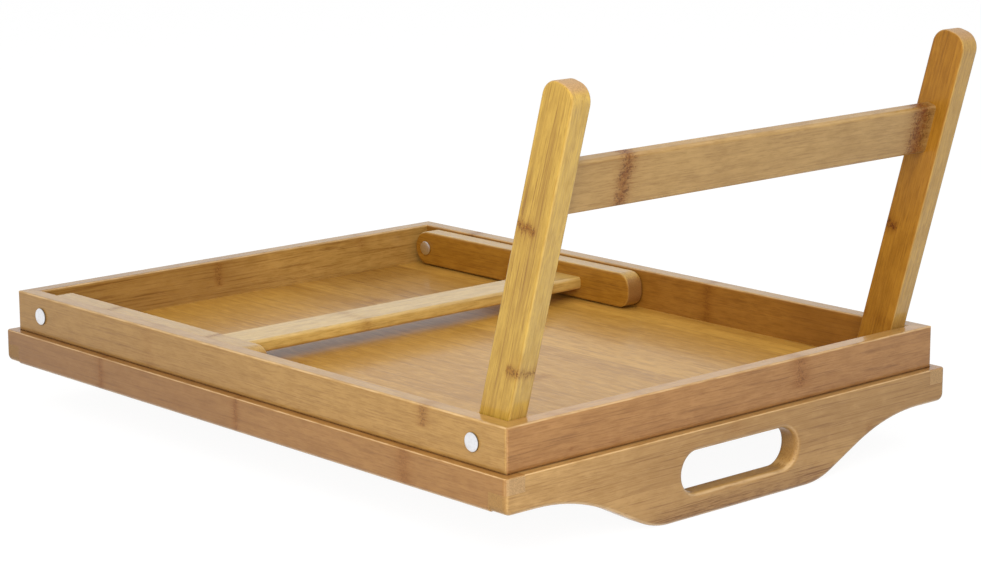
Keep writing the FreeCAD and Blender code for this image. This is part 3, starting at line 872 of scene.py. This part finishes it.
class BED_TRAY_OT_rim_rails(PieceOperator):
    """Finish the two long rim rails"""
    bl_idname = "bed_tray.rim_rails"
    bl_label = "Rim Rails"

    def execute(self, context):
        for index, side in enumerate(SIDES):
            node = "rim_rail_" + side
            face = OUTWARD[side]
            self.clad(node, "rim_" + side, self.finish.rim, along=X_AXIS, face=face,
                      origin=middle(node) + face * RIM_HALF_THICK, seed=SEEDS["rim"] + index,
                      strip=30.0, contrast=0.2, lines=0.34, pitch=1.4, ends=self.finish.rim_end,
                      on_ledge=True)
        return {"FINISHED"}


class BED_TRAY_OT_handles(PieceOperator):
    """Finish the two handle panels"""
    bl_idname = "bed_tray.handles"
    bl_label = "Handle Panels"

    def execute(self, context):
        # the left handle's cut ends take the darker painted-shade tone
        ends = {"right": self.finish.handle_end, "left": self.finish.shaded_handle_end}
        for index, end in enumerate(ENDS):
            node = "handle_panel_" + end
            face = OUTWARD[end]
            origin = Vector((middle(node).x, 0, 0)) + face * RIM_HALF_THICK
            self.clad(node, "handle_" + end, self.finish.handle, along=Y_AXIS, face=face,
                      origin=origin, seed=SEEDS["handle"] + index, strip=11.0, contrast=0.7,
                      lines=0.50, pitch=1.1, ends=ends[end], on_ledge=True)
        return {"FINISHED"}


class BED_TRAY_OT_leg_frame(PieceOperator):
    """Finish the four mitred rails of the leg frame"""
    bl_idname = "bed_tray.leg_frame"
    bl_label = "Leg Frame"

    def execute(self, context):
        for index, side in enumerate(SIDES):
            name = "frame_rail_" + side
            face = OUTWARD[side]
            self.clad(name, name, self.finish.leg_frame, along=X_AXIS, face=face,
                      origin=face * HALF_FRAME_Y, seed=SEEDS["rail"] + index, strip=30.0,
                      contrast=0.25, lines=0.32, pitch=1.2, inside=1.0, on_ledge=True)
        bases = {"right": self.finish.end_rail, "left": self.finish.leg_frame}
        tops = {"right": self.finish.end_top}
        for index, end in enumerate(ENDS):
            name = "frame_end_" + end
            face = OUTWARD[end]
            self.clad(name, name, bases[end], along=Y_AXIS, face=face, origin=face * HALF_FRAME_X,
                      seed=SEEDS["end"] + index, strip=7.0, contrast=0.4, lines=0.60, pitch=1.3,
                      side=tops.get(end), on_ledge=True)
        return {"FINISHED"}


class BED_TRAY_OT_legs(PieceOperator):
    """Finish the four folding legs"""
    bl_idname = "bed_tray.legs"
    bl_label = "Legs"

    def execute(self, context):
        sides = {
            "right_front": self.finish.leg_side,
            "right_back": self.finish.crossbar,
            "left_front": self.finish.crossbar,
        }
        ends = {"right": self.finish.pith, "left": self.finish.foot_end}
        for index, corner in enumerate(CORNERS):
            node = "leg_" + corner
            end, side = corner.split("_")
            origin = PIVOTS[end].copy()
            low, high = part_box(node)
            origin.y = high.y if side == "back" else low.y
            near = corner == "right_front"
            base = self.finish.leg if near else self.finish.deep_leg
            self.clad(node, node, base, along=OPEN_LEG if end == "right" else X_AXIS,
                      face=OUTWARD[side], origin=origin, seed=SEEDS["leg"] + index, strip=9.0,
                      contrast=0.4, lines=0.75 if near else 0.40, pitch=1.0, wear=0.10,
                      inside=1.0, ends=ends[end], side=sides.get(corner))
        return {"FINISHED"}


class BED_TRAY_OT_crossbars(PieceOperator):
    """Finish the two crossbars between the legs"""
    bl_idname = "bed_tray.crossbars"
    bl_label = "Crossbars"

    def execute(self, context):
        bases = {"right": self.finish.crossbar, "left": self.finish.folded_bar}
        for index, end in enumerate(ENDS):
            node = "crossbar_" + end
            self.clad(node, node, bases[end], along=Y_AXIS,
                      face=OPEN_EDGE if end == "right" else Z_AXIS, origin=PIVOTS[end],
                      seed=SEEDS["crossbar"] + index, strip=30.0, ply=40.0, soaked=0.0,
                      contrast=0.2, lines=0.28, pitch=1.1, wear=0.35)
        return {"FINISHED"}


class BED_TRAY_OT_joinery(PieceOperator):
    """Finish the hidden bamboo pins, dowels and splines"""
    bl_idname = "bed_tray.joinery"
    bl_label = "Pins, Dowels and Splines"

    def execute(self, context):
        grain = {
            "frame_pins": (Z_AXIS, Y_AXIS),
            "mitre_splines": (Z_AXIS, Y_AXIS),
            "crossbar_dowels_left": (Y_AXIS, X_AXIS),
            "crossbar_dowels_right": (Y_AXIS, X_AXIS),
        }
        for index, (node, (along, face)) in enumerate(grain.items()):
            self.clad(node, node, self.finish.handle, along=along, face=face, origin=CENTRE,
                      seed=SEEDS["joinery"] + index, strip=4.0, pitch=0.8)
        return {"FINISHED"}


class BED_TRAY_OT_rivets(PieceOperator):
    """Turn the four pivot rivets and set them through rail and leg"""
    bl_idname = "bed_tray.rivets"
    bl_label = "Rivets"

    def execute(self, context):
        shape = context.scene.rivet_shape
        node = "rivet_right_back"
        low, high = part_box(node)
        centre = middle(node)
        head_seat = HALF_FRAME_Y
        head_height = high.y - head_seat
        head_radius = (high.z - low.z) / 2
        tail_seat = low.y + head_height
        shank = shape.shank_diameter / 2
        tail_radius = shape.tail_diameter / 2
        tail = dome_stations(tail_seat, -1, tail_radius, head_height, shape.edge_height)
        head = dome_stations(head_seat, 1, head_radius, head_height, shape.edge_height)
        stations = tail[::-1] + [(tail_seat, shank), (head_seat, shank)] + head
        first = turned_piece("turned_" + node, centre, stations)
        soften_edges(first, shape.edge_bevel)

        pieces = {"right_back": first}
        pieces["left_back"] = copy_of(first, "turned_rivet_left_back")
        bpy.ops.transform.translate(value=(-2 * centre.x, 0, 0))
        for source, target in (("left_back", "right_front"), ("right_back", "left_front")):
            pieces[target] = copy_of(pieces[source], "turned_rivet_" + target)
            bpy.ops.transform.rotate(value=math.pi, orient_axis="Z", center_override=(0, 0, 0))
        for corner, piece in pieces.items():
            select_only(piece)
            bpy.ops.object.transform_apply(location=True, rotation=True, scale=True)
            at = middle("rivet_" + corner)
            # the head's upright edge takes painted shade and dark reflection
            metal = brushed_metal(
                "rivet_steel_" + corner, shape.metal, at, HEAD_ROUGHNESS, head_radius)
            piece.data.materials.clear()
            piece.data.materials.append(metal)
            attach(piece, "tray")
            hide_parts("rivet_" + corner)
        return {"FINISHED"}


class BED_TRAY_OT_washers(PieceOperator):
    """Finish the thin washers between rails and legs"""
    bl_idname = "bed_tray.washers"
    bl_label = "Washers"

    def execute(self, context):
        low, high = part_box("pivot_washers")
        # the washers' rims take painted shade and dark reflection from this radius outwards
        bare = (high.z - low.z) / 2
        metal = context.scene.rivet_shape.metal
        steel = brushed_metal("washer_steel", metal, PIVOTS["right"], WASHER_ROUGHNESS, bare)
        dress("pivot_washers", steel)
        return {"FINISHED"}


# ---------------- stage

# A large square soft lamp: its share of the key lamp's power, its side, its place and the point
# it looks at, in metres.
Lamp = namedtuple("Lamp", "share size place aim")

LAMPS = {
    "key_lamp": Lamp(1.0, 1.3, Vector((0.95, -1.05, 0.75)), Vector((0.12, -0.08, 0.02))),
    "top_lamp": Lamp(0.45, 1.8, Vector((-0.2, 0.3, 2.3)), Vector((0, 0, 0))),
}
LOOK_AT = Vector((-0.0461, 0.06874, FRAME_TOP))  # what the camera looks at
SENSOR_WIDTH = 36  # millimetres
NEAR_CLIP = 0.05
FLOOR_GAP = 0.1 * MM  # keeps the floor off the crests' own faces
FLOOR_TONES = ((0.70, 0.70, 0.70), (0.74, 0.74, 0.73))
FLOOR_PATCHES = Grain(250, 250, 3.0, 0.5, 1)
FLOOR_GLOW = 1.12  # where the floor is seen or mirrored
FLOOR_GLOW_SHARE = 0.84  # the rest keeps the tray's shadow
WHITE = (1, 1, 1, 1)


def seen_rays(graph):
    """1 for rays of the camera, mirrors and glass, 0 for the light on the tray."""
    rays = graph.add("ShaderNodeLightPath").outputs
    camera, glossy, glass = [
        Field(graph, rays[kind])
        for kind in ("Is Camera Ray", "Is Glossy Ray", "Is Transmission Ray")]
    return camera.larger(glossy).larger(glass)


class BED_TRAY_OT_stage(PieceOperator):
    """Set the pale floor, the soft lamps and the camera"""
    bl_idname = "bed_tray.stage"
    bl_label = "Stage"

    def execute(self, context):
        scene = context.scene
        stage = scene.studio_stage
        scene.view_settings.view_transform = "Standard"
        self.lay_floor(stage)
        self.light_surround(scene, stage)
        for name, lamp in LAMPS.items():
            self.hang_lamp(name, lamp, stage.key * lamp.share)
        self.set_camera(scene, stage)
        return {"FINISHED"}

    def lay_floor(self, stage):
        """Pale floor at the crests' level, which keeps the tray's soft shadow."""
        deselect_all()
        bpy.ops.mesh.primitive_plane_add(
            size=stage.floor_size, location=(0, 0, FLOOR_LEVEL - FLOOR_GAP))
        floor = bpy.context.object
        floor.name = "studio_floor"
        graph = Graph(bpy.data.materials.new("floor_paint"))
        place = graph.add("ShaderNodeTexCoord").outputs["Object"]
        patches = graph.noise(graph.scaled(place, 1 / MM / FLOOR_PATCHES.width), FLOOR_PATCHES)
        paint = graph.add(
            "ShaderNodeBsdfDiffuse", None, {"Color": graph.blend(patches, *FLOOR_TONES)})
        glow = graph.add("ShaderNodeEmission", None, {"Strength": FLOOR_GLOW})
        share = seen_rays(graph) * FLOOR_GLOW_SHARE
        mixed = graph.add(
            "ShaderNodeMixShader", None, [share, paint.outputs[0], glow.outputs[0]])
        floor.data.materials.append(graph.surface(mixed.outputs[0]))

    def light_surround(self, scene, stage):
        """White walls: plain light on the tray, white where they are seen or mirrored."""
        scene.world = scene.world or bpy.data.worlds.new("studio")
        graph = Graph(scene.world)
        strength = seen_rays(graph) * (1 - stage.surround) + stage.surround
        walls = graph.add("ShaderNodeBackground", None, {"Color": WHITE, "Strength": strength})
        graph.surface(walls.outputs[0])

    def hang_lamp(self, name, lamp, power):
        """Soft lamp that isn't mirrored itself, so gloss mirrors the white walls alone."""
        deselect_all()
        turn = (lamp.place - lamp.aim).to_track_quat("Z", "Y").to_euler()
        bpy.ops.object.light_add(type="AREA", location=lamp.place, rotation=turn)
        light = bpy.context.object
        light.name = name
        light.data.energy = power
        light.data.size = lamp.size
        light.visible_glossy = False

    def set_camera(self, scene, stage):
        """Camera that looks at the tray from the stage's direction, with its small roll."""
        azimuth, elevation = stage.azimuth, stage.elevation
        flat = math.cos(elevation)
        back = Vector((math.sin(azimuth) * flat, -math.cos(azimuth) * flat, math.sin(elevation)))
        side = (-back).cross(Z_AXIS).normalized()
        upward = side.cross(-back)
        right = side * math.cos(stage.roll) + upward * math.sin(stage.roll)
        up = upward * math.cos(stage.roll) - side * math.sin(stage.roll)
        deselect_all()
        bpy.ops.object.camera_add()
        camera = bpy.context.object
        camera.name = "studio_camera"
        turn = Matrix((right, up, back)).transposed().to_4x4()
        camera.matrix_world = Matrix.Translation(LOOK_AT + back * stage.distance) @ turn
        camera.data.sensor_width = SENSOR_WIDTH
        camera.data.lens = stage.lens
        camera.data.clip_start = NEAR_CLIP
        scene.camera = camera


SETTINGS = {"bamboo_finish": BambooFinish, "rivet_shape": RivetShape, "studio_stage": StudioStage}


class BED_TRAY_PT_panel(bpy.types.Panel):
    """Sidebar list of the table's pieces"""
    bl_idname = "BED_TRAY_PT_panel"
    bl_label = "Bed Tray Table"
    bl_space_type = "VIEW_3D"
    bl_region_type = "UI"
    bl_category = "Bed Tray"

    def draw(self, context):
        for step in STEP_NAMES:
            self.layout.operator("bed_tray." + step)
        for group in SETTINGS:
            settings = getattr(context.scene, group)
            box = self.layout.box()
            for key in settings.__annotations__:
                box.prop(settings, key)


CLASSES = (
    *SETTINGS.values(), BED_TRAY_OT_board, BED_TRAY_OT_rim_rails, BED_TRAY_OT_handles,
    BED_TRAY_OT_leg_frame, BED_TRAY_OT_legs, BED_TRAY_OT_crossbars, BED_TRAY_OT_joinery,
    BED_TRAY_OT_rivets, BED_TRAY_OT_washers, BED_TRAY_OT_stage, BED_TRAY_PT_panel,
)


def register():
    for part in CLASSES:
        bpy.utils.register_class(part)
    for group, settings in SETTINGS.items():
        setattr(bpy.types.Scene, group, bpy.props.PointerProperty(type=settings))


def unregister():
    for group in SETTINGS:
        delattr(bpy.types.Scene, group)
    for part in reversed(CLASSES):
        bpy.utils.unregister_class(part)


def main():
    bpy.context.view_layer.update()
    register()
    for step in STEP_NAMES:
        getattr(bpy.ops.bed_tray, step)()


if __name__ == "__main__":
    main()
